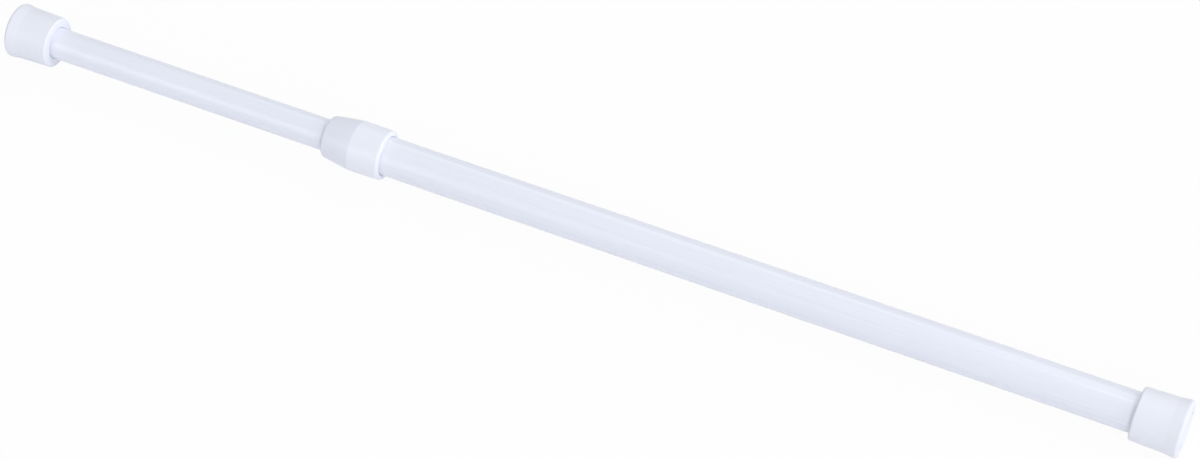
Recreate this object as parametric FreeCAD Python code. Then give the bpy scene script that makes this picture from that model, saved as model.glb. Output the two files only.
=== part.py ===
import FreeCAD, Part
import math
import os

from FreeCAD import Vector

# A spring tension rod: two telescoping tubes that press between two walls.
# Millimetres, +Z up. The rod lies along X. The origin is the middle of the outer
# end cap's wall face, and the rod runs from there to -X. A station is a distance
# along the rod from that face.

# Tubes
OUTER_TUBE_DIAMETER = 16.0
OUTER_TUBE_WALL = 0.6
OUTER_TUBE_SHOWING = 309.0  # from the outer cap's mouth to the collar's mouth
INNER_TUBE_DIAMETER = 13.0
INNER_TUBE_WALL = 0.5
INNER_TUBE_SHOWING = 125.4  # from the collar's nose to the inner cap's mouth
BEAD_DEPTH = 0.6  # rolled into the inner tube to hold a plug
BEAD_WIDTH = 2.4
BEAD_ROUNDING = 0.8

# End caps
CAP_LENGTH = 19.2
CAP_FLOOR = 4.5
CAP_FOOT_DIAMETER = 23.0  # at the wall
CAP_WAIST_DIAMETER = 21.6  # where the foot's flare starts
CAP_MOUTH_DIAMETER = 20.9
CAP_FLARE_LENGTH = 5.5
CAP_FLARE_ROUNDING = 12.0
CAP_FOOT_ROUNDING = 1.6
CAP_LIP_ROUNDING = 0.9
GRIP_GROOVE_DIAMETER = 13.0  # a ring in the wall face
GRIP_GROOVE_WIDTH = 1.2
GRIP_GROOVE_DEPTH = 0.4

# Collar
COLLAR_NOSE_LENGTH = 12.7
COLLAR_SKIRT_LENGTH = 13.5
COLLAR_NOSE_DIAMETER = 17.0
COLLAR_CROWN_DIAMETER = 19.1  # half way along the nose
COLLAR_EDGE_DIAMETER = 20.8  # between nose and skirt
COLLAR_MOUTH_DIAMETER = 20.5
COLLAR_NOSE_ROUNDING = 0.8
COLLAR_CROWN_ROUNDING = 250.0
COLLAR_LIP_ROUNDING = 0.8
COLLAR_SHOULDER_DEPTH = 14.5  # from the collar's mouth to the tube's end

# The chamfer that leads a tube into a cap or the collar
LEAD_IN = 0.4

# Fits, all radial
PUSH_FIT = 0.05
RUNNING_FIT = 0.25
KEY_FIT = 0.2
REST_GAP = 0.2  # between flat faces of pieces that move on each other

# Travels
SHORTENING = 92.0  # of the rod from the drawn length
SPRING_STROKE = 28.0
NUT_TRAVEL = 6.0
END_MARGIN = 6.0  # left at the end of the shortening
STROKE_MARGIN = 1.0  # left at the end of the spring's stroke

# Lock
SPINDLE_DIAMETER = 6.0
SPINDLE_POINT = 1.0  # in front of the clip
FLANGE_DIAMETER = 12.4
FLANGE_THICKNESS = 2.5
TAIL_FLATS = 4.8  # across the two flats
CLIP_DIAMETER = 9.2
CLIP_THICKNESS = 0.8
CLIP_GROOVE_DEPTH = 0.7
CLIP_OPENING = 3.6
NUT_HEAD_DIAMETER = 13.6
NUT_HEAD_THICKNESS = 2.0
NUT_CONE_LENGTH = 9.0
NUT_CONE_BIG_DIAMETER = 11.6
NUT_CONE_SMALL_DIAMETER = 8.4
KEY_HEIGHT_DIAMETER = 13.4
KEY_COUNT = 4
SLEEVE_LENGTH = 19.0
SLEEVE_BASE = 5.0  # the ring that the fingers stand on
SLEEVE_SLOT = 1.8
SLEEVE_GROOVES = 3  # round the fingers, for grip
SLEEVE_GROOVE_WIDTH = 1.2
SLEEVE_GROOVE_DEPTH = 0.3
SLEEVE_GROOVE_PITCH = 3.6
SLEEVE_MOUTH_GAP = 1.0  # between the nut's head and the sleeve when locked

# Spring side
BUSH_FLANGE = 3.0
BUSH_PLUG = 12.0
STOP_LENGTH = 12.0
STOP_BORE = 5.0
SPRING_LENGTH = 55.0
SPRING_DIAMETER = 11.0
SPRING_WIRE = 1.0
SPRING_TURNS = 6
WIRE_SIDES = 6  # the wire's section is drawn with this many flats
WASHER_DIAMETER = 11.2
WASHER_THICKNESS = 1.0
SCREW_DIAMETER = 2.8
SCREW_LENGTH = 10.0
SCREW_HEAD_DIAMETER = 5.6
SCREW_HEAD_HEIGHT = 2.0
SCREW_SLOT = 0.8

# Radii
outer_radius = OUTER_TUBE_DIAMETER / 2
outer_bore = outer_radius - OUTER_TUBE_WALL
inner_radius = INNER_TUBE_DIAMETER / 2
inner_bore = inner_radius - INNER_TUBE_WALL
runner_radius = outer_bore - RUNNING_FIT  # what slides in the outer tube
plug_radius = inner_bore - PUSH_FIT
spindle_radius = SPINDLE_DIAMETER / 2

# Stations of the outside, from the outer wall face
outer_tube_start = CAP_FLOOR
collar_mouth = CAP_LENGTH + OUTER_TUBE_SHOWING
collar_edge = collar_mouth + COLLAR_SKIRT_LENGTH
collar_nose = collar_edge + COLLAR_NOSE_LENGTH
outer_tube_end = collar_mouth + COLLAR_SHOULDER_DEPTH
inner_wall_face = collar_nose + INNER_TUBE_SHOWING + CAP_LENGTH
inner_tube_end = inner_wall_face - CAP_FLOOR

# Stations of the lock and the spring
spindle_tip = CAP_FLOOR + END_MARGIN + SHORTENING
clip_start = spindle_tip + SPINDLE_POINT
nut_start = clip_start + CLIP_THICKNESS + REST_GAP + NUT_TRAVEL
cone_start = nut_start + NUT_HEAD_THICKNESS
cone_end = cone_start + NUT_CONE_LENGTH
sleeve_start = cone_start + SLEEVE_MOUTH_GAP
sleeve_end = sleeve_start + SLEEVE_LENGTH
flange_start = sleeve_end + REST_GAP
flange_end = flange_start + FLANGE_THICKNESS
bush_start = flange_end + SPRING_STROKE + STROKE_MARGIN
inner_tube_start = bush_start + BUSH_FLANGE
bush_end = inner_tube_start + BUSH_PLUG
tail_end = bush_end + REST_GAP
spring_start = tail_end + WASHER_THICKNESS
stop_start = spring_start + SPRING_LENGTH
stop_end = stop_start + STOP_LENGTH
bush_bead = inner_tube_start + BUSH_PLUG / 2
stop_bead = stop_start + STOP_LENGTH / 2


def outline(corners):
    """A closed outline through corners of station, radius and rounding."""
    spots = [Vector(-station, radius, 0) for station, radius, rounding in corners]
    starts = []
    ends = []
    arcs = []
    for number, (station, radius, rounding) in enumerate(corners):
        corner = spots[number]
        back = (spots[number - 1] - corner).normalize()
        ahead = (spots[(number + 1) % len(spots)] - corner).normalize()
        if rounding == 0:
            starts.append(corner)
            ends.append(corner)
            arcs.append(None)
            continue
        half = back.getAngle(ahead) / 2
        middle = (back + ahead).normalize()
        starts.append(corner + back * (rounding / math.tan(half)))
        ends.append(corner + ahead * (rounding / math.tan(half)))
        crown = corner + middle * (rounding / math.sin(half) - rounding)
        arcs.append(Part.Arc(starts[-1], crown, ends[-1]).toShape())
    edges = []
    for number in range(len(corners)):
        edges.append(Part.makeLine(ends[number - 1], starts[number]))
        if arcs[number]:
            edges.append(arcs[number])
    return Part.Wire(edges)


def turned(wire):
    """The solid that an outline makes when it is turned about the rod's axis."""
    return Part.Face(wire).revolve(Vector(0, 0, 0), Vector(1, 0, 0), 360)


def ring(start, end, big_radius, small_radius=0):
    """A plain ring, or a disc if it has no bore, between two stations."""
    return turned(
        outline(
            [
                (start, small_radius, 0),
                (start, big_radius, 0),
                (end, big_radius, 0),
                (end, small_radius, 0),
            ]
        )
    )


def block(start, end, width, height):
    """A block on the axis between two stations, width along Y and height along Z."""
    return Part.makeBox(end - start, width, height, Vector(-end, -width / 2, -height / 2))


def spread(shape, count):
    """Copies of a shape set evenly about the rod's axis."""
    copies = []
    for number in range(count):
        copy = shape.copy()
        copy.rotate(Vector(0, 0, 0), Vector(1, 0, 0), 360 * number / count)
        copies.append(copy)
    return copies


def end_cap(tube_radius):
    """An end cap with its wall face at station 0, for a tube of this radius."""
    bore = tube_radius + PUSH_FIT
    groove_in = (GRIP_GROOVE_DIAMETER - GRIP_GROOVE_WIDTH) / 2
    groove_out = (GRIP_GROOVE_DIAMETER + GRIP_GROOVE_WIDTH) / 2
    return turned(
        outline(
            [
                (0, 0, 0),
                (0, groove_in, 0),
                (GRIP_GROOVE_DEPTH, groove_in, 0),
                (GRIP_GROOVE_DEPTH, groove_out, 0),
                (0, groove_out, 0),
                (0, CAP_FOOT_DIAMETER / 2, CAP_FOOT_ROUNDING),
                (CAP_FLARE_LENGTH, CAP_WAIST_DIAMETER / 2, CAP_FLARE_ROUNDING),
                (CAP_LENGTH, CAP_MOUTH_DIAMETER / 2, CAP_LIP_ROUNDING),
                (CAP_LENGTH, bore + LEAD_IN, 0),
                (CAP_LENGTH - LEAD_IN, bore, 0),
                (CAP_FLOOR, bore, 0),
                (CAP_FLOOR, 0, 0),
            ]
        )
    )


def collar():
    """The collar: a skirt on the outer tube and a bullet nose round the inner one."""
    bore = outer_radius + PUSH_FIT
    guide = inner_radius + RUNNING_FIT
    crown = (collar_edge + collar_nose) / 2
    return turned(
        outline(
            [
                (collar_nose, guide + LEAD_IN, 0),
                (collar_nose, COLLAR_NOSE_DIAMETER / 2, COLLAR_NOSE_ROUNDING),
                (crown, COLLAR_CROWN_DIAMETER / 2, COLLAR_CROWN_ROUNDING),
                (collar_edge, COLLAR_EDGE_DIAMETER / 2, 0),
                (collar_mouth, COLLAR_MOUTH_DIAMETER / 2, COLLAR_LIP_ROUNDING),
                (collar_mouth, bore + LEAD_IN, 0),
                (collar_mouth + LEAD_IN, bore, 0),
                (outer_tube_end, bore, 0),
                (outer_tube_end, guide, 0),
                (collar_nose - LEAD_IN, guide, 0),
            ]
        )
    )


def inner_tube():
    """The inner tube with its two rolled beads."""
    half = BEAD_WIDTH / 2
    outside = [(inner_tube_start, inner_radius, 0)]
    inside = [(inner_tube_start, inner_bore, 0)]
    for bead in (bush_bead, stop_bead):
        for wall, radius in ((outside, inner_radius), (inside, inner_bore)):
            wall.append((bead - half, radius, 0))
            wall.append((bead, radius - BEAD_DEPTH, BEAD_ROUNDING))
            wall.append((bead + half, radius, 0))
    outside.append((inner_tube_end, inner_radius, 0))
    inside.append((inner_tube_end, inner_bore, 0))
    return turned(outline(outside + inside[::-1]))


def plug_wall(start, end, bead):
    """The outside of a plug in the inner tube, with the groove for its bead."""
    half = BEAD_WIDTH / 2 + PUSH_FIT
    return [
        (start, plug_radius, 0),
        (bead - half, plug_radius, 0),
        (bead, plug_radius - BEAD_DEPTH, 0),
        (bead + half, plug_radius, 0),
        (end, plug_radius, 0),
    ]


def guide_bush():
    """The flanged plug that carries the spindle's tail and runs in the outer tube."""
    wall = [(bush_start, 0, 0), (bush_start, runner_radius, 0)]
    wall += [(inner_tube_start, runner_radius, 0)]
    wall += plug_wall(inner_tube_start, bush_end, bush_bead)
    wall += [(bush_end, 0, 0)]
    hole = ring(bush_start, bush_end, spindle_radius + KEY_FIT)
    flats = block(bush_start, bush_end, SPINDLE_DIAMETER * 2, TAIL_FLATS + 2 * KEY_FIT)
    return turned(outline(wall)).cut(hole.common(flats))


def spring_stop():
    """The plug that the spring leans on."""
    wall = plug_wall(stop_start, stop_end, stop_bead)
    bore = STOP_BORE / 2
    return turned(outline([(stop_start, bore, 0)] + wall + [(stop_end, bore, 0)]))


def compression_spring():
    """The coil, with its ends ground flat."""
    mean = (SPRING_DIAMETER - SPRING_WIRE) / 2
    pitch = SPRING_LENGTH / SPRING_TURNS
    helix = Part.makeHelix(pitch, SPRING_LENGTH, mean)
    corners = []
    for number in range(WIRE_SIDES + 1):
        angle = 2 * math.pi * number / WIRE_SIDES
        across = mean + SPRING_WIRE / 2 * math.cos(angle)
        corners.append(Vector(across, 0, SPRING_WIRE / 2 * math.sin(angle)))
    section = Part.makePolygon(corners)
    coil = Part.Wire(helix.Edges).makePipeShell([section], True, True)
    coil.rotate(Vector(0, 0, 0), Vector(0, 1, 0), -90)
    coil.translate(Vector(-spring_start, 0, 0))
    return coil.common(ring(spring_start, stop_start, inner_bore))


def lock_spindle():
    """The spindle: a thread's core, a thrust flange and a tail with two flats."""
    groove = clip_start + CLIP_THICKNESS
    front = spindle_radius - CLIP_GROOVE_DEPTH
    body = turned(
        outline(
            [
                (spindle_tip, 0, 0),
                (spindle_tip, spindle_radius, 0),
                (clip_start, spindle_radius, 0),
                (clip_start, front, 0),
                (groove, front, 0),
                (groove, spindle_radius, 0),
                (flange_start, spindle_radius, 0),
                (flange_start, FLANGE_DIAMETER / 2, 0),
                (flange_end, FLANGE_DIAMETER / 2, 0),
                (flange_end, 0, 0),
            ]
        )
    )
    tail = ring(flange_end, tail_end, spindle_radius)
    flats = block(flange_end, tail_end, SPINDLE_DIAMETER * 2, TAIL_FLATS)
    pilot = ring(tail_end - SCREW_LENGTH, tail_end, SCREW_DIAMETER / 2 + PUSH_FIT)
    return body.fuse(tail.common(flats)).removeSplitter().cut(pilot)


def cone_nut():
    """The nut: a head, a cone and the keys that ride in the sleeve's slots."""
    bore = spindle_radius + RUNNING_FIT
    body = turned(
        outline(
            [
                (nut_start, bore, 0),
                (nut_start, NUT_HEAD_DIAMETER / 2, 0),
                (cone_start, NUT_HEAD_DIAMETER / 2, 0),
                (cone_start, NUT_CONE_BIG_DIAMETER / 2, 0),
                (cone_end, NUT_CONE_SMALL_DIAMETER / 2, 0),
                (cone_end, bore, 0),
            ]
        )
    )
    key_width = SLEEVE_SLOT - 2 * KEY_FIT
    root = (bore + NUT_CONE_SMALL_DIAMETER / 2) / 2  # where a key starts, inside the cone
    ribs = ring(cone_start, cone_end, KEY_HEIGHT_DIAMETER / 2, root)
    rib = Part.makeBox(
        NUT_CONE_LENGTH, key_width, NUT_HEAD_DIAMETER, Vector(-cone_end, -key_width / 2, 0)
    )
    keys = [copy.common(ribs) for copy in spread(rib, KEY_COUNT)]
    return body.fuse(keys).removeSplitter()


def split_sleeve():
    """The sleeve: a base ring and fingers with a bore that follows the nut's cone."""
    bore = spindle_radius + RUNNING_FIT
    slope = (NUT_CONE_BIG_DIAMETER - NUT_CONE_SMALL_DIAMETER) / 2 / NUT_CONE_LENGTH
    big = NUT_CONE_BIG_DIAMETER / 2 + RUNNING_FIT - slope * SLEEVE_MOUTH_GAP
    base = sleeve_end - SLEEVE_BASE
    small = big - slope * (base - sleeve_start)
    wall = [(sleeve_start, big, 0), (sleeve_start, runner_radius, 0)]
    for number in range(1, SLEEVE_GROOVES + 1):
        groove = sleeve_start + number * SLEEVE_GROOVE_PITCH
        floor = runner_radius - SLEEVE_GROOVE_DEPTH
        wall.append((groove - SLEEVE_GROOVE_WIDTH, runner_radius, 0))
        wall.append((groove - SLEEVE_GROOVE_WIDTH, floor, 0))
        wall.append((groove, floor, 0))
        wall.append((groove, runner_radius, 0))
    wall += [(sleeve_end, runner_radius, 0), (sleeve_end, bore, 0)]
    wall += [(base, bore, 0), (base, small, 0)]
    body = turned(outline(wall))
    slot = Part.makeBox(
        base - sleeve_start,
        SLEEVE_SLOT,
        OUTER_TUBE_DIAMETER,
        Vector(-base, -SLEEVE_SLOT / 2, 0),
    )
    return body.cut(spread(slot, KEY_COUNT))


def retaining_clip():
    """The open ring in the groove at the spindle's front."""
    hole = spindle_radius - CLIP_GROOVE_DEPTH + PUSH_FIT
    clip = ring(clip_start, clip_start + CLIP_THICKNESS, CLIP_DIAMETER / 2, hole)
    opening = Part.makeBox(
        CLIP_THICKNESS,
        CLIP_OPENING,
        CLIP_DIAMETER,
        Vector(-clip_start - CLIP_THICKNESS, -CLIP_OPENING / 2, 0),
    )
    return clip.cut(opening)


def tail_screw():
    """The screw in the spindle's tail, with a slotted head."""
    head_end = spring_start + SCREW_HEAD_HEIGHT
    body = turned(
        outline(
            [
                (tail_end - SCREW_LENGTH + REST_GAP, 0, 0),
                (tail_end - SCREW_LENGTH + REST_GAP, SCREW_DIAMETER / 2, 0),
                (spring_start, SCREW_DIAMETER / 2, 0),
                (spring_start, SCREW_HEAD_DIAMETER / 2, 0),
                (head_end, SCREW_HEAD_DIAMETER / 2, SCREW_HEAD_HEIGHT / 2),
                (head_end, 0, 0),
            ]
        )
    )
    slot = block(head_end - SCREW_HEAD_HEIGHT / 2, head_end, SCREW_HEAD_DIAMETER, SCREW_SLOT)
    return body.cut(slot)


def facing_the_other_wall(shape):
    """A shape made at the outer wall, turned to the inner one."""
    shape.rotate(Vector(0, 0, 0), Vector(0, 0, 1), 180)
    shape.translate(Vector(-inner_wall_face, 0, 0))
    return shape


pieces = {
    "outer_tube": ring(outer_tube_start, outer_tube_end, outer_radius, outer_bore),
    "outer_end_cap": end_cap(outer_radius),
    "collar": collar(),
    "inner_tube": inner_tube(),
    "inner_end_cap": facing_the_other_wall(end_cap(inner_radius)),
    "guide_bush": guide_bush(),
    "spring_stop": spring_stop(),
    "compression_spring": compression_spring(),
    "lock_spindle": lock_spindle(),
    "split_sleeve": split_sleeve(),
    "cone_nut": cone_nut(),
    "retaining_clip": retaining_clip(),
    "tail_washer": ring(
        tail_end, spring_start, WASHER_DIAMETER / 2, SCREW_DIAMETER / 2 + PUSH_FIT
    ),
    "tail_screw": tail_screw(),
}

os.makedirs("parts", exist_ok=True)
for name, shape in pieces.items():
    solid = shape.Solids[0]
    solid.exportStep("parts/" + name + ".step")
    print(name, "solids", len(shape.Solids), "valid", solid.isValid(), "mm3", round(solid.Volume, 1))
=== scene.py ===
# %% [markdown]
# # A spring tension rod
#
# The rod is two painted steel tubes, one inside the other. A bullet-nosed collar guides
# the slim tube, and a soft cap closes each end. A spring and a twist lock hide inside.
# The CAD part is loaded first, as the frame that everything here has to fit.

import math

import bpy
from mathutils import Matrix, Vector


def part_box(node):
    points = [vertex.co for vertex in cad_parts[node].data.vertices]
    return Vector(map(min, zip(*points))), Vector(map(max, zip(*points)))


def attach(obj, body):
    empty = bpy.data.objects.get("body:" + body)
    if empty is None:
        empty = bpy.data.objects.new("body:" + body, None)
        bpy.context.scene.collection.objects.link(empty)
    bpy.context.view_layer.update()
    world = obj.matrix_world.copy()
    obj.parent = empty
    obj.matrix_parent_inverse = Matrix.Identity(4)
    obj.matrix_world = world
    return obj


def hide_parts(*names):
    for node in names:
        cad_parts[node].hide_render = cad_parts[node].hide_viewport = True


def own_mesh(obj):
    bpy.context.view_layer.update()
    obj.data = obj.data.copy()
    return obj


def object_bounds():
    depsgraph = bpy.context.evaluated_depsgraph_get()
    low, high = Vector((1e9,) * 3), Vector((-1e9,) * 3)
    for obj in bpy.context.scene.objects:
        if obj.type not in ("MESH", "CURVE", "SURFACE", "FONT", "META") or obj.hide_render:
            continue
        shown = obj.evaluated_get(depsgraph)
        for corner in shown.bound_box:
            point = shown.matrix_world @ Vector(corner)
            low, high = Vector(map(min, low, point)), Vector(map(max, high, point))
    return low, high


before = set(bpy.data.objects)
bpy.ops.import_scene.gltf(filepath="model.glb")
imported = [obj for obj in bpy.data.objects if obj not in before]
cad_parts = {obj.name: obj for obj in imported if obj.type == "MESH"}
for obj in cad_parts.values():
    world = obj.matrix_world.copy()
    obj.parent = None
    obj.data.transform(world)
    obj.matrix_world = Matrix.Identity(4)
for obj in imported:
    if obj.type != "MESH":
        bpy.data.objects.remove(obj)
cad_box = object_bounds()
print("CAD box in metres:", [list(corner) for corner in cad_box])

# %% [markdown]
# Every piece of the rod is round, so one way of modelling serves them all: a ring of
# points is extruded along the rod and scaled, ring after ring, as a lathe would shape it.
# Spinning an outline would give the same shapes. Rings were chosen because each one has a
# known place and radius, by which its edges are found again when they are rounded. The rod
# lies along X, and an outline is a list of places along X with a radius for each.

# %% Turn a piece
MM = 0.001
SAME = 0.02 * MM  # two places closer than this count as one
SIDES = 128


def only(piece):
    """Select this piece alone and make it the active one."""
    bpy.ops.object.select_all(action="DESELECT")
    piece.select_set(True)
    bpy.context.view_layer.objects.active = piece


def extrude_to(x_from, r_from, x_to, r_to):
    """Extrude the selected ring to the next place and radius of the outline."""
    bpy.ops.mesh.extrude_edges_move(TRANSFORM_OT_translate={"value": (x_to - x_from, 0, 0)})
    swell = r_to / r_from
    bpy.ops.transform.resize(value=(1, swell, swell), center_override=(x_to, 0, 0))


def close_ends():
    """Merge the ring that came back to its start, or cap the two open ends."""
    bpy.ops.mesh.select_all(action="SELECT")
    bpy.ops.mesh.remove_doubles(threshold=SAME)
    bpy.ops.mesh.fill_holes(sides=0)
    bpy.ops.mesh.normals_make_consistent(inside=False)


def turn(name, outline):
    """A piece turned about the rod's axis from places along X and radii, in metres."""
    bpy.ops.object.select_all(action="DESELECT")
    x, r = outline[0]
    bpy.ops.mesh.primitive_circle_add(
        vertices=SIDES, radius=r, location=(x, 0, 0), rotation=(0, math.pi / 2, 0)
    )
    piece = bpy.context.object
    piece.name = piece.data.name = name
    bpy.ops.object.transform_apply(location=True, rotation=True, scale=True)
    bpy.ops.object.mode_set(mode="EDIT")
    bpy.ops.mesh.select_mode(type="EDGE")
    bpy.ops.mesh.select_all(action="SELECT")
    for x_to, r_to in outline[1:]:
        extrude_to(x, r, x_to, r_to)
        x, r = x_to, r_to
    close_ends()
    bpy.ops.object.mode_set(mode="OBJECT")
    return piece


print("Turned pieces get", SIDES, "sides")

# %% [markdown]
# No edge of a real tube or moulding is perfectly sharp, and it is the rounded edge that
# catches the light. A Bevel modifier would round every edge alike. Here each ring of edges
# has a rounding of its own, so it is selected by its place and bevelled by itself.


# %% Round an edge
def soften(piece, x, r, size, segments):
    """Bevel one ring of edges, found by its place along X and its radius."""
    only(piece)
    bpy.ops.object.mode_set(mode="EDIT")
    bpy.ops.mesh.select_mode(type="EDGE")
    bpy.ops.mesh.select_all(action="DESELECT")
    bpy.ops.object.mode_set(mode="OBJECT")

    def on_ring(number):
        spot = piece.data.vertices[number].co
        return abs(spot.x - x) < SAME and abs(math.hypot(spot.y, spot.z) - r) < SAME

    for edge in piece.data.edges:
        edge.select = all(on_ring(number) for number in edge.vertices)
    bpy.ops.object.mode_set(mode="EDIT")
    bpy.ops.mesh.bevel(offset=size, segments=segments, profile=0.5, affect="EDGES")
    bpy.ops.object.mode_set(mode="OBJECT")


# %% [markdown]
# A finished piece is shaded smooth, apart from its sharp edges. Weighted normals let the
# large faces lead, so that a long wall stays straight in its reflections and only the small
# bevels look round. Each piece then rides on its CAD body and hides the node it replaces.

# %% Finish a piece
SMOOTH_BELOW = math.radians(32)  # a sharper edge than this stays an edge


def finish_piece(piece, body, nodes, material):
    """Smooth shading led by the large faces, a material, and the piece's CAD body."""
    only(piece)
    bpy.ops.object.shade_smooth_by_angle(angle=SMOOTH_BELOW)
    weigh = piece.modifiers.new("weigh", "WEIGHTED_NORMAL")
    weigh.keep_sharp = True
    bpy.ops.object.modifier_apply(modifier=weigh.name)
    piece.data.materials.clear()
    piece.data.materials.append(material)
    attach(piece, body)
    if nodes:
        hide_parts(*nodes)
    print(piece.name, "faces:", len(piece.data.polygons))


# %% [markdown]
# A material is easier to read as arithmetic than as a web of nodes. This small class wraps
# one output socket, so that `noise * 0.1 + 0.3` adds the Math nodes by itself, and its
# `make` method adds any other node. Patterns read Object coordinates, which are metres.

# %% A socket that can reckon
NOISE_DETAIL = 2.0


class Signal:
    """One output socket of a node tree, with Python's own arithmetic."""

    def __init__(self, tree, socket=None):
        self.tree = tree
        self.socket = socket

    def make(self, kind, settings=None, inputs=None, output=0):
        """Add a node: its settings first, then the values or links of its sockets."""
        node = self.tree.nodes.new(kind)
        for name, value in (settings or {}).items():
            setattr(node, name, value)
        for name, value in (inputs or {}).items():
            if isinstance(value, Signal):
                self.tree.links.new(value.socket, node.inputs[name])
            else:
                node.inputs[name].default_value = value
        return Signal(self.tree, node.outputs[output])

    def finish(self, kind, shader):
        """Link a shader to a new output node."""
        output = self.tree.nodes.new(kind)
        self.tree.links.new(shader.socket, output.inputs["Surface"])

    def pick(self, signal, name):
        """Another output of the node that a signal comes from."""
        return Signal(self.tree, signal.socket.node.outputs[name])

    def reckon(self, operation, first, second=0.0):
        return self.make("ShaderNodeMath", {"operation": operation}, {0: first, 1: second})

    def __add__(self, other):
        return self.reckon("ADD", self, other)

    def __radd__(self, other):
        return self.reckon("ADD", other, self)

    def __sub__(self, other):
        return self.reckon("SUBTRACT", self, other)

    def __rsub__(self, other):
        return self.reckon("SUBTRACT", other, self)

    def __mul__(self, other):
        return self.reckon("MULTIPLY", self, other)

    def __rmul__(self, other):
        return self.reckon("MULTIPLY", other, self)

    def __truediv__(self, other):
        return self.reckon("DIVIDE", self, other)

    def __rtruediv__(self, other):
        return self.reckon("DIVIDE", other, self)

    def __abs__(self):
        return self.reckon("ABSOLUTE", self)

    def clamped(self):
        return self.make("ShaderNodeClamp", inputs={"Value": self})

    def along(self):
        """The X, Y and Z of the Object coordinates."""
        place = self.make("ShaderNodeTexCoord", output="Object")
        parts = self.make("ShaderNodeSeparateXYZ", inputs={"Vector": place})
        return [self.pick(parts, axis) for axis in "XYZ"]

    def noise(self, scale, stretch=1.0):
        """A cloudy pattern from 0 to 1, which can be stretched along the rod."""
        x, y, z = self.along()
        parts = {"X": x / stretch, "Y": y, "Z": z}
        place = self.make("ShaderNodeCombineXYZ", inputs=parts)
        inputs = {"Vector": place, "Scale": scale, "Detail": NOISE_DETAIL}
        return self.make("ShaderNodeTexNoise", inputs=inputs)

    def blend(self, factor, first, second):
        """A colour between two: a Mix node's sockets 6 and 7 take colours, and 2 gives one."""
        inputs = {0: factor, 6: first, 7: second}
        return self.make("ShaderNodeMix", {"data_type": "RGBA"}, inputs, output=2)

    def bump(self, height, strength):
        """A relief whose height is in metres, so its distance is 1."""
        inputs = {"Height": height, "Distance": 1.0, "Strength": strength}
        return self.make("ShaderNodeBump", inputs=inputs, output="Normal")


def new_material(name):
    """An empty material and a Signal to build it with."""
    material = bpy.data.materials.new(name)
    material.use_nodes = True
    material.node_tree.nodes.clear()
    return material, Signal(material.node_tree)


def surface(signal, constants, varying):
    """A Principled shader on the material's output: constants are set, the rest linked."""
    shader = signal.make("ShaderNodeBsdfPrincipled", inputs={**constants, **varying})
    signal.finish("ShaderNodeOutputMaterial", shader)


# %% [markdown]
# The tubes are steel strip, rolled, welded along one line and painted white. Up close such
# paint isn't even: it has a soft waviness, like the skin of an orange, and its gloss
# changes a little from place to place. Rolling and sliding leave faint bands of more and
# less gloss along the tubes, and the weld shows as a thin ridge below. Noise was chosen
# over a painted picture, because it has no seam: a scale of 700 gives waves of about
# 1.5 mm, and a scale of 300, stretched 60 times along the rod, gives the wider bands.

# %% White tube paint
PAINT = (0.815, 0.839, 0.930, 1.0)
PAINT_THIN = (0.785, 0.812, 0.910, 1.0)
PAINT_ROUGHNESS = 0.13
PAINT_CLOUDING = 0.06  # roughness that the clouds add
PAINT_BANDING = 0.22  # roughness that the long bands add
WAVE_HEIGHT = 0.05 * MM
WELD_HEIGHT = 0.04 * MM
WELD_WIDTH = 0.4 * MM
SKIN_RELIEF = 0.6  # how strongly a relief shows on paint, rubber and plastic
SKIN_IOR = 1.45


def make_tube_paint():
    material, start = new_material("tube_paint")
    cloud = start.noise(scale=25.0)
    wave = start.noise(scale=700.0)
    band = start.noise(scale=300.0, stretch=60.0)
    _, y, z = start.along()
    below = start.reckon("LESS_THAN", z, 0.0)
    weld = (1.0 - abs(y) / WELD_WIDTH).clamped() * below
    surface(
        start,
        {"IOR": SKIN_IOR},
        {
            "Base Color": start.blend(cloud, PAINT, PAINT_THIN),
            "Roughness": cloud * PAINT_CLOUDING + band * PAINT_BANDING + PAINT_ROUGHNESS,
            "Normal": start.bump(wave * WAVE_HEIGHT + weld * WELD_HEIGHT, SKIN_RELIEF),
        },
    )
    return material


tube_paint = make_tube_paint()
print("Made", tube_paint.name)

# %% [markdown]
# The end caps are soft moulded rubber. Its skin is satin, and its very fine grain is a
# noise of a fifth of a millimetre in the relief, too fine to be modelled.

# %% Cap rubber
RUBBER = (0.830, 0.850, 0.925, 1.0)
RUBBER_WORN = (0.795, 0.818, 0.900, 1.0)
RUBBER_ROUGHNESS = 0.42
RUBBER_CLOUDING = 0.12
GRAIN_HEIGHT = 0.03 * MM


def make_cap_rubber():
    material, start = new_material("cap_rubber")
    cloud = start.noise(scale=60.0)
    grain = start.noise(scale=5000.0)
    surface(
        start,
        {"IOR": SKIN_IOR},
        {
            "Base Color": start.blend(cloud, RUBBER, RUBBER_WORN),
            "Roughness": cloud * RUBBER_CLOUDING + RUBBER_ROUGHNESS,
            "Normal": start.bump(grain * GRAIN_HEIGHT, SKIN_RELIEF),
        },
    )
    return material


cap_rubber = make_cap_rubber()
print("Made", cap_rubber.name)

# %% [markdown]
# The collar is a harder plastic with more gloss, and its mould left a faint line along each
# side, where the two halves met. Its nose is painted a little greyer than its skirt: this is
# painted shade, for the nose looks to the left, away from the light. Two materials could
# share the collar, but the change lies at the edge between nose and skirt, whose place is
# known, so one material with a mask does it.

# %% Collar plastic
PLASTIC = (0.840, 0.860, 0.945, 1.0)
PLASTIC_DEEP = (0.815, 0.840, 0.930, 1.0)
PLASTIC_ROUGHNESS = 0.3
PLASTIC_CLOUDING = 0.1
NOSE_LENGTH = 12.7 * MM
# painted shade: the greyer colour of the nose, which looks away from the light
NOSE_SHADE = (0.780, 0.805, 0.900, 1.0)
NOSE_SHADE_FADE = 0.6 * MM
PARTING = (0.700, 0.730, 0.830, 1.0)
PARTING_WIDTH = 0.15 * MM
PARTING_HEIGHT = 0.05 * MM
PARTING_SHARE = 0.5  # how much of its colour the parting line shows


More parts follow.
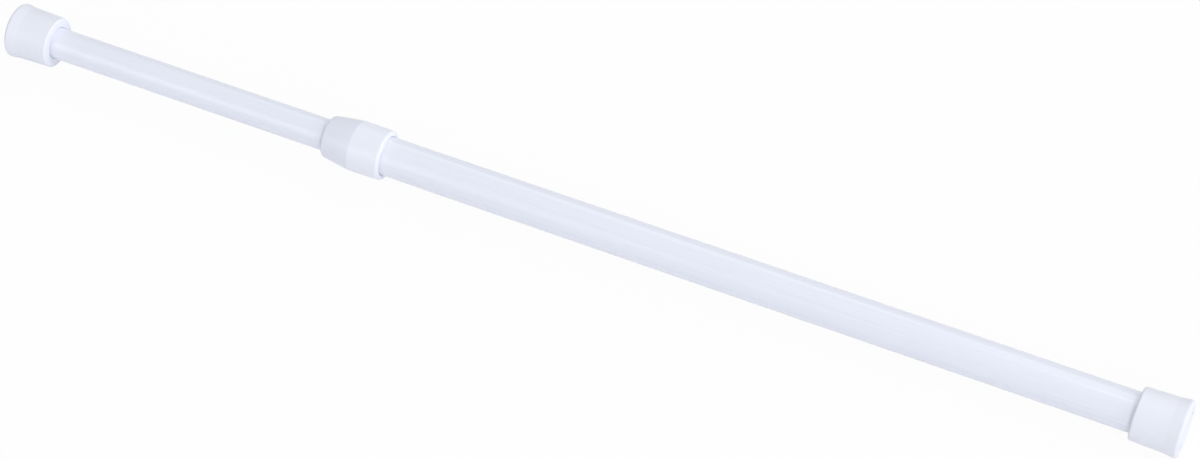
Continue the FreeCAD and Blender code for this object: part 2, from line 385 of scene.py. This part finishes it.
def make_collar_plastic():
    material, start = new_material("collar_plastic")
    cloud = start.noise(scale=80.0)
    x, _, z = start.along()
    parting = (1.0 - abs(z) / PARTING_WIDTH).clamped()
    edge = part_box("collar")[0][0] + NOSE_LENGTH
    # painted shade: the nose is blended towards the greyer colour, fading out at its edge with
    # the skirt
    nose_shade = ((edge - x) / NOSE_SHADE_FADE + 0.5).clamped()
    moulded = start.blend(cloud, PLASTIC, PLASTIC_DEEP)
    outside = start.blend(nose_shade, moulded, NOSE_SHADE)
    surface(
        start,
        {"IOR": SKIN_IOR},
        {
            "Base Color": start.blend(parting * PARTING_SHARE, outside, PARTING),
            "Roughness": cloud * PLASTIC_CLOUDING + PLASTIC_ROUGHNESS,
            "Normal": start.bump(parting * PARTING_HEIGHT, SKIN_RELIEF),
        },
    )
    return material


collar_plastic = make_collar_plastic()
print("Made", collar_plastic.name)

# %% [markdown]
# Inside, the lock's pieces are natural nylon, the gripping sleeve is black plastic, and the
# spring, clip, washer and screw are zinc-plated steel. They only show when the rod is taken
# apart, but each still has its own finish. The three differ only in their colours, their
# roughness and the size of their clouds, so one function makes them.

# %% Finishes of the hidden pieces
NYLON = (0.72, 0.69, 0.60, 1.0)
NYLON_MILKY = (0.80, 0.78, 0.71, 1.0)
SOOT = (0.012, 0.012, 0.014, 1.0)
SOOT_DUSTY = (0.030, 0.030, 0.032, 1.0)
ZINC = (0.56, 0.57, 0.58, 1.0)
ZINC_DULL = (0.42, 0.43, 0.45, 1.0)
LOCK_CLOUDING = 0.15
LOCK_GRAIN = 20.0  # how many times finer than its clouds a finish's grain is
LOCK_GRAIN_HEIGHT = 0.01 * MM
LOCK_RELIEF = 0.5
LOCK_IOR = 1.5


def make_plain_finish(name, light, dark, roughness, metal, scale):
    """A finish that drifts between two colours, with a fine relief."""
    material, start = new_material(name)
    cloud = start.noise(scale=scale)
    grain = start.noise(scale=scale * LOCK_GRAIN)
    surface(
        start,
        {"Metallic": metal, "IOR": LOCK_IOR},
        {
            "Base Color": start.blend(cloud, light, dark),
            "Roughness": cloud * LOCK_CLOUDING + roughness,
            "Normal": start.bump(grain * LOCK_GRAIN_HEIGHT, LOCK_RELIEF),
        },
    )
    return material


lock_nylon = make_plain_finish(
    "lock_nylon", NYLON_MILKY, NYLON, roughness=0.38, metal=0.0, scale=120.0
)
sleeve_plastic = make_plain_finish(
    "sleeve_plastic", SOOT_DUSTY, SOOT, roughness=0.45, metal=0.0, scale=200.0
)
spring_steel = make_plain_finish(
    "spring_steel", ZINC, ZINC_DULL, roughness=0.25, metal=1.0, scale=300.0
)
print("Made", lock_nylon.name, sleeve_plastic.name, spring_steel.name)

# %% [markdown]
# The outer tube is a plain pipe with a thin wall. A Solidify modifier could thicken a
# cylinder, but an outline that runs along the outside and back along the bore gives both
# walls their exact radius. Its places come from the CAD node's box: where it starts and
# ends along X, and its radius. The rims get a tiny bevel, because a cut tube is always
# broken at the edge.


# %% Outer tube
def span(node):
    """Where a CAD node starts and ends along X, and its radius."""
    low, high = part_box(node)
    return low[0], high[0], high[2]


OUTER_WALL = 0.6 * MM
RIM = 0.12 * MM
outer_low, outer_high, outer_radius = span("outer_tube")
outer_bore = outer_radius - OUTER_WALL
outer_tube = turn(
    "outer_tube_painted",
    [
        (outer_high, outer_radius),
        (outer_low, outer_radius),
        (outer_low, outer_bore),
        (outer_high, outer_bore),
        (outer_high, outer_radius),
    ],
)
for place in (outer_low, outer_high):
    soften(outer_tube, place, outer_radius, RIM, segments=2)
finish_piece(outer_tube, "outer", ["outer_tube"], tube_paint)

# %% [markdown]
# The inner tube has two beads rolled into it, which hold the guide bush and the spring's
# stop. A groove with bevelled edges would look machined. A rolled bead is smooth, so its
# rings follow a cosine: steep on its flanks and level at its bottom and at its shoulders.

# %% Inner tube
INNER_WALL = 0.5 * MM
BEAD_WIDTH = 2.4 * MM
BEAD_DEPTH = 0.6 * MM
BEAD_RINGS = 8
inner_low, inner_high, inner_radius = span("inner_tube")
inner_bore = inner_radius - INNER_WALL
bush_low, _, _ = span("guide_bush")
stop_low, stop_high, _ = span("spring_stop")
beads = [(bush_low + inner_high) / 2, (stop_low + stop_high) / 2]


def beaded_wall(radius):
    """The rings of one wall of the inner tube, from its hidden end to its cap."""
    rings = [(inner_high, radius)]
    for bead in beads:
        for number in range(BEAD_RINGS + 1):
            part = number / BEAD_RINGS
            dip = BEAD_DEPTH * (1 - math.cos(2 * math.pi * part)) / 2
            rings.append((bead + BEAD_WIDTH * (0.5 - part), radius - dip))
    return rings + [(inner_low, radius)]


inner_outline = beaded_wall(inner_radius) + beaded_wall(inner_bore)[::-1]
inner_tube = turn("inner_tube_painted", inner_outline + inner_outline[:1])
for place in (inner_low, inner_high):
    soften(inner_tube, place, inner_radius, RIM, segments=2)
finish_piece(inner_tube, "inner", ["inner_tube"], tube_paint)

# %% [markdown]
# Both end caps have the same outside: a cup that widens a little to the wall, with a round
# rim at the wall, a round lip at its mouth and a grip ring in its wall face. Only the bore
# differs. Copying and mirroring one cap would still leave the bore to change, so one
# function turns both, and the places of wall and mouth say which way a cap faces.

# %% End caps
CAP_FLOOR = 4.5 * MM
CAP_MOUTH_RADIUS = 10.45 * MM
CAP_WAIST_RADIUS = 10.8 * MM
CAP_FOOT_RADIUS = 11.5 * MM
FLARE_LENGTH = 5.5 * MM
FLARE_ROUND = 0.5 * MM
FOOT_ROUND = 1.6 * MM
LIP_ROUND = 0.9 * MM
GRIP_IN = 5.9 * MM
GRIP_OUT = 7.1 * MM
GRIP_DEPTH = 0.4 * MM
LEAD_IN = 0.4 * MM  # the chamfer that leads the tube in
FIT = 0.05 * MM  # how far a bore stands off the tube in it
CRISP = 0.2 * MM  # the small rounding that a moulding has on every edge


def make_cap(name, wall, mouth, tube_radius):
    """A cap between its wall face and its mouth, for a tube of this radius."""
    inward = 1 if mouth > wall else -1
    flare = wall + inward * FLARE_LENGTH
    bore = tube_radius + FIT
    cap = turn(
        name,
        [
            (wall, GRIP_IN),
            (wall + inward * GRIP_DEPTH, GRIP_IN),
            (wall + inward * GRIP_DEPTH, GRIP_OUT),
            (wall, GRIP_OUT),
            (wall, CAP_FOOT_RADIUS),
            (flare, CAP_WAIST_RADIUS),
            (mouth, CAP_MOUTH_RADIUS),
            (mouth, bore + LEAD_IN),
            (mouth - inward * LEAD_IN, bore),
            (wall + inward * CAP_FLOOR, bore),
        ],
    )
    soften(cap, wall, CAP_FOOT_RADIUS, FOOT_ROUND, segments=10)
    soften(cap, flare, CAP_WAIST_RADIUS, FLARE_ROUND, segments=4)
    soften(cap, mouth, CAP_MOUTH_RADIUS, LIP_ROUND, segments=8)
    for r in (GRIP_IN, GRIP_OUT):
        soften(cap, wall, r, CRISP, segments=3)
    return cap


low, high, _ = span("outer_end_cap")
outer_cap = make_cap("outer_cap_soft", high, low, outer_radius)
finish_piece(outer_cap, "outer", ["outer_end_cap"], cap_rubber)
low, high, _ = span("inner_end_cap")
inner_cap = make_cap("inner_cap_soft", low, high, inner_radius)
finish_piece(inner_cap, "inner", ["inner_end_cap"], cap_rubber)

# %% [markdown]
# The collar is a skirt on the outer tube and a bullet nose that narrows to the inner tube.
# The nose is almost a straight cone, with a slight bulge that keeps it from looking hollow.
# Its rings are worked out from the straight line and the bulge on it, so that the curve
# stays smooth at any number of rings.

# %% Collar
SHOULDER = 14.5 * MM  # how deep the bore for the outer tube is
NOSE_RADIUS = 8.5 * MM
EDGE_RADIUS = 10.4 * MM
SKIRT_RADIUS = 10.25 * MM
NOSE_BULGE = 0.08 * MM
NOSE_RINGS = 12
NOSE_ROUND = 0.8 * MM
COLLAR_LIP = 1.2 * MM
GUIDE_FIT = 0.25 * MM  # the room that the sliding tube has
collar_nose, collar_mouth, _ = span("collar")
collar_edge = collar_nose + NOSE_LENGTH


def bullet_rings():
    """The rings of the nose, from its front to its edge with the skirt."""
    rings = []
    for number in range(NOSE_RINGS + 1):
        part = number / NOSE_RINGS
        straight = NOSE_RADIUS + (EDGE_RADIUS - NOSE_RADIUS) * part
        bulge = NOSE_BULGE * 4 * part * (1 - part)  # 0 at both ends, whole at the middle
        rings.append((collar_nose + NOSE_LENGTH * part, straight + bulge))
    return rings


guide = inner_radius + GUIDE_FIT
skirt_bore = outer_radius + FIT
collar_outline = bullet_rings() + [
    (collar_mouth, SKIRT_RADIUS),
    (collar_mouth, skirt_bore + LEAD_IN),
    (collar_mouth - LEAD_IN, skirt_bore),
    (collar_mouth - SHOULDER, skirt_bore),
    (collar_mouth - SHOULDER, guide),
    (collar_nose + LEAD_IN, guide),
    (collar_nose, guide + LEAD_IN),
]
collar = turn("collar_bullet", collar_outline + collar_outline[:1])
soften(collar, collar_nose, NOSE_RADIUS, NOSE_ROUND, segments=6)
soften(collar, collar_edge, EDGE_RADIUS, CRISP, segments=3)
soften(collar, collar_mouth, SKIRT_RADIUS, COLLAR_LIP, segments=6)
finish_piece(collar, "outer", ["collar"], collar_plastic)

# %% [markdown]
# The spring is round wire. A curve with a bevel could follow a helix, but its points would
# have to be worked out first. A Screw modifier only needs the pitch: it winds a small
# circle, the wire's section, about the rod's axis. The coil belongs to the inner tube, and it
# gets a mesh of its own. The real spring shortens with its stroke.

# %% Spring
WIRE = 1.0 * MM
TURNS = 6
STEPS = 48  # round each turn


def wind(name, wire_radius, coil_radius, place, length, turns, sides):
    """Round wire wound about the rod's axis from a place along X."""
    bpy.ops.object.select_all(action="DESELECT")
    bpy.ops.mesh.primitive_circle_add(
        vertices=sides,
        radius=wire_radius,
        location=(place, 0, coil_radius),
        rotation=(math.pi / 2, 0, 0),
    )
    coil = bpy.context.object
    coil.name = coil.data.name = name
    bpy.ops.object.transform_apply(location=True, rotation=True, scale=True)
    screw = coil.modifiers.new("wind", "SCREW")
    screw.axis = "X"
    screw.screw_offset = length / turns
    screw.iterations = turns
    screw.steps = screw.render_steps = STEPS
    bpy.ops.object.modifier_apply(modifier=screw.name)
    bpy.ops.object.mode_set(mode="EDIT")
    bpy.ops.mesh.select_all(action="SELECT")
    bpy.ops.mesh.fill_holes(sides=0)
    bpy.ops.mesh.normals_make_consistent(inside=False)
    bpy.ops.object.mode_set(mode="OBJECT")
    return coil


spring_low, spring_high, spring_radius = span("compression_spring")
coil_radius = spring_radius - WIRE / 2
spring_length = spring_high - spring_low
wound = spring_length - WIRE
spring = wind(
    "spring_coil", WIRE / 2, coil_radius, spring_low + WIRE / 2, wound, TURNS, sides=12
)
finish_piece(spring, "inner", ["compression_spring"], spring_steel)
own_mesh(spring)

# %% [markdown]
# The cone nut rides on a coarse thread. The CAD spindle has only the thread's core, so the
# ridge is wound here, in the same way as the spring, from the clip to the sleeve's base.

# %% Thread on the spindle
RIDGE = 0.22 * MM
THREAD_PITCH = 4.0 * MM
THREAD_TURNS = 5
SPINDLE_RADIUS = 3.0 * MM
clip_low, _, _ = span("retaining_clip")
thread_length = THREAD_PITCH * THREAD_TURNS
thread_low = clip_low - 2 * RIDGE - thread_length
thread = wind(
    "spindle_thread", RIDGE, SPINDLE_RADIUS, thread_low, thread_length, THREAD_TURNS, sides=8
)
finish_piece(thread, "spindle", [], lock_nylon)

# %% [markdown]
# The other hidden pieces keep their CAD shapes. They only need their finishes.

# %% Dress the small pieces
FINISHES = {
    "guide_bush": lock_nylon,
    "spring_stop": lock_nylon,
    "lock_spindle": lock_nylon,
    "cone_nut": lock_nylon,
    "split_sleeve": sleeve_plastic,
    "retaining_clip": spring_steel,
    "tail_washer": spring_steel,
    "tail_screw": spring_steel,
}
for node, finish in FINISHES.items():
    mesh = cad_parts[node].data
    mesh.materials.clear()
    mesh.materials.append(finish)
print("Dressed", len(FINISHES), "CAD nodes")

# %% [markdown]
# The picture was taken in soft light on white. A large plane is the floor. To the camera it
# is nearly white by itself, and the rest of its look is plain diffuse paper, so that the
# rod's soft shadow stays on it. More light would whiten the floor too, but it would wash
# out the rod. The Light Path node tells the rays apart instead: what the eye sees, straight
# or in a reflection, is the plain white, and what lights the rod is the paper.

# %% Floor
WHITE = (1.0, 1.0, 1.0, 1.0)
FLOOR_SIZE = 8.0
FLOOR_PAPER = (0.84, 0.845, 0.86, 1.0)
FLOOR_SHADED = (0.82, 0.825, 0.84, 1.0)
FLOOR_GLOW = 0.95  # share of plain white that the camera sees


def seen(start):
    """1 for the rays of the camera, of reflections and of glass, and 0 for the others."""
    camera_ray = start.make("ShaderNodeLightPath", output="Is Camera Ray")
    glossy = start.pick(camera_ray, "Is Glossy Ray")
    through = start.pick(camera_ray, "Is Transmission Ray")
    return (camera_ray + glossy + through).clamped()


bpy.ops.object.select_all(action="DESELECT")
bpy.ops.mesh.primitive_plane_add(size=FLOOR_SIZE, location=(outer_low, 0, cad_box[0][2]))
floor = bpy.context.object
floor.name = "floor"
floor_material, start = new_material("floor_paper")
tint = start.blend(start.noise(scale=3.0), FLOOR_PAPER, FLOOR_SHADED)
paper = start.make("ShaderNodeBsdfDiffuse", inputs={"Color": tint})
white = start.make("ShaderNodeEmission", inputs={"Color": WHITE, "Strength": 1.0})
mask = seen(start) * FLOOR_GLOW
mixed = start.make("ShaderNodeMixShader", inputs={0: mask, 1: paper, 2: white})
start.finish("ShaderNodeOutputMaterial", mixed)
floor.data.materials.append(floor_material)
print("Floor at", round(cad_box[0][2], 4))

# %% [markdown]
# In the picture every face that looks a little to the right is brighter than its neighbour
# that looks a little to the left: the flare of the left cap is pale and that of the right
# cap is dark. So the room is bright on the right and dim on the left. The world has two
# skies, and a factor that follows the X of the direction blends them.

# %% World
SKY = (0.97, 0.98, 1.0, 1.0)
BRIGHT_SKY = 0.80
DIM_SKY = 0.20
SKY_SLOPE = 2.5  # how fast the dim side turns into the bright one
world = bpy.data.worlds.new("studio")
bpy.context.scene.world = world
world.use_nodes = True
world.node_tree.nodes.clear()
start = Signal(world.node_tree)
direction = start.make("ShaderNodeTexCoord", output="Generated")
parts = start.make("ShaderNodeSeparateXYZ", inputs={"Vector": direction})
rightness = (start.pick(parts, "X") * SKY_SLOPE + 0.5).clamped()
bright = start.make("ShaderNodeBackground", inputs={"Color": SKY, "Strength": BRIGHT_SKY})
dim = start.make("ShaderNodeBackground", inputs={"Color": SKY, "Strength": DIM_SKY})
sky = start.make("ShaderNodeMixShader", inputs={0: rightness, 1: dim, 2: bright})
plain = start.make("ShaderNodeBackground", inputs={"Color": WHITE, "Strength": 1.0})
both = start.make("ShaderNodeMixShader", inputs={0: seen(start), 1: sky, 2: plain})
start.finish("ShaderNodeOutputWorld", both)
print("Sky from", DIM_SKY, "on the left to", BRIGHT_SKY, "on the right")

# %% [markdown]
# Lamps add what the sky can't. The key on the right is small, so that the right cap draws
# a crisp shadow line on its tube, and a large lamp far to the right whitens the end faces.
# A strip above draws the long streak on the wide tube, a box in front on the left draws
# the one on the slim tube, and a lamp behind lifts the top edge.

# %% Lamps
AIM = Vector((-0.2361, 0, -0.0004))  # the middle of the picture, on the rod
# Where each lamp stands from there, its width and height in metres, and its watts
LAMPS = {
    "key": ((0.9, -0.8, 0.75), 0.25, 0.25, 3.25),
    "far": ((3.0, -0.6, 0.9), 1.6, 1.6, 14.0),
    "strip": ((0.25, 0.14, 1.0), 0.6, 0.16, 1.8),
    "front": ((-0.75, -1.0, 0.56), 0.9, 0.6, 4.1),
    "back": ((0.0, 0.9, 0.9), 1.4, 0.4, 3.5),
}


def lamp(name, offset, width, height, watts):
    """A rectangular lamp that looks at the rod's middle."""
    bpy.ops.object.select_all(action="DESELECT")
    bpy.ops.object.light_add(type="AREA", location=AIM + Vector(offset))
    light = bpy.context.object
    light.name = light.data.name = name
    light.data.shape = "RECTANGLE"
    light.data.size = width
    light.data.size_y = height
    light.data.energy = watts
    light.rotation_euler = (-Vector(offset)).to_track_quat("-Z", "Y").to_euler()


for name, (offset, width, height, watts) in LAMPS.items():
    lamp(name, offset, width, height, watts)
print("Lamps:", list(LAMPS))

# %% [markdown]
# The camera stands where the picture's was: nearer the wide end, well above the rod. Its
# angles and distance come from the way the tubes narrow and from the ovals of the caps.

# %% Camera
VIEW_AZIMUTH = math.radians(24.41)
VIEW_ELEVATION = math.radians(49.1)
VIEW_DISTANCE = 1.1634
LENS = 90.0
SENSOR = 36.0
toward = Vector(
    (
        math.sin(VIEW_AZIMUTH) * math.cos(VIEW_ELEVATION),
        -math.cos(VIEW_AZIMUTH) * math.cos(VIEW_ELEVATION),
        math.sin(VIEW_ELEVATION),
    )
)
bpy.ops.object.camera_add(location=AIM + toward * VIEW_DISTANCE)
camera = bpy.context.object
camera.rotation_euler = (-toward).to_track_quat("-Z", "Y").to_euler()
camera.data.lens = LENS
camera.data.sensor_width = SENSOR
bpy.context.scene.camera = camera
bpy.context.scene.view_settings.view_transform = "Standard"
print("Camera at", [round(c, 3) for c in camera.location])
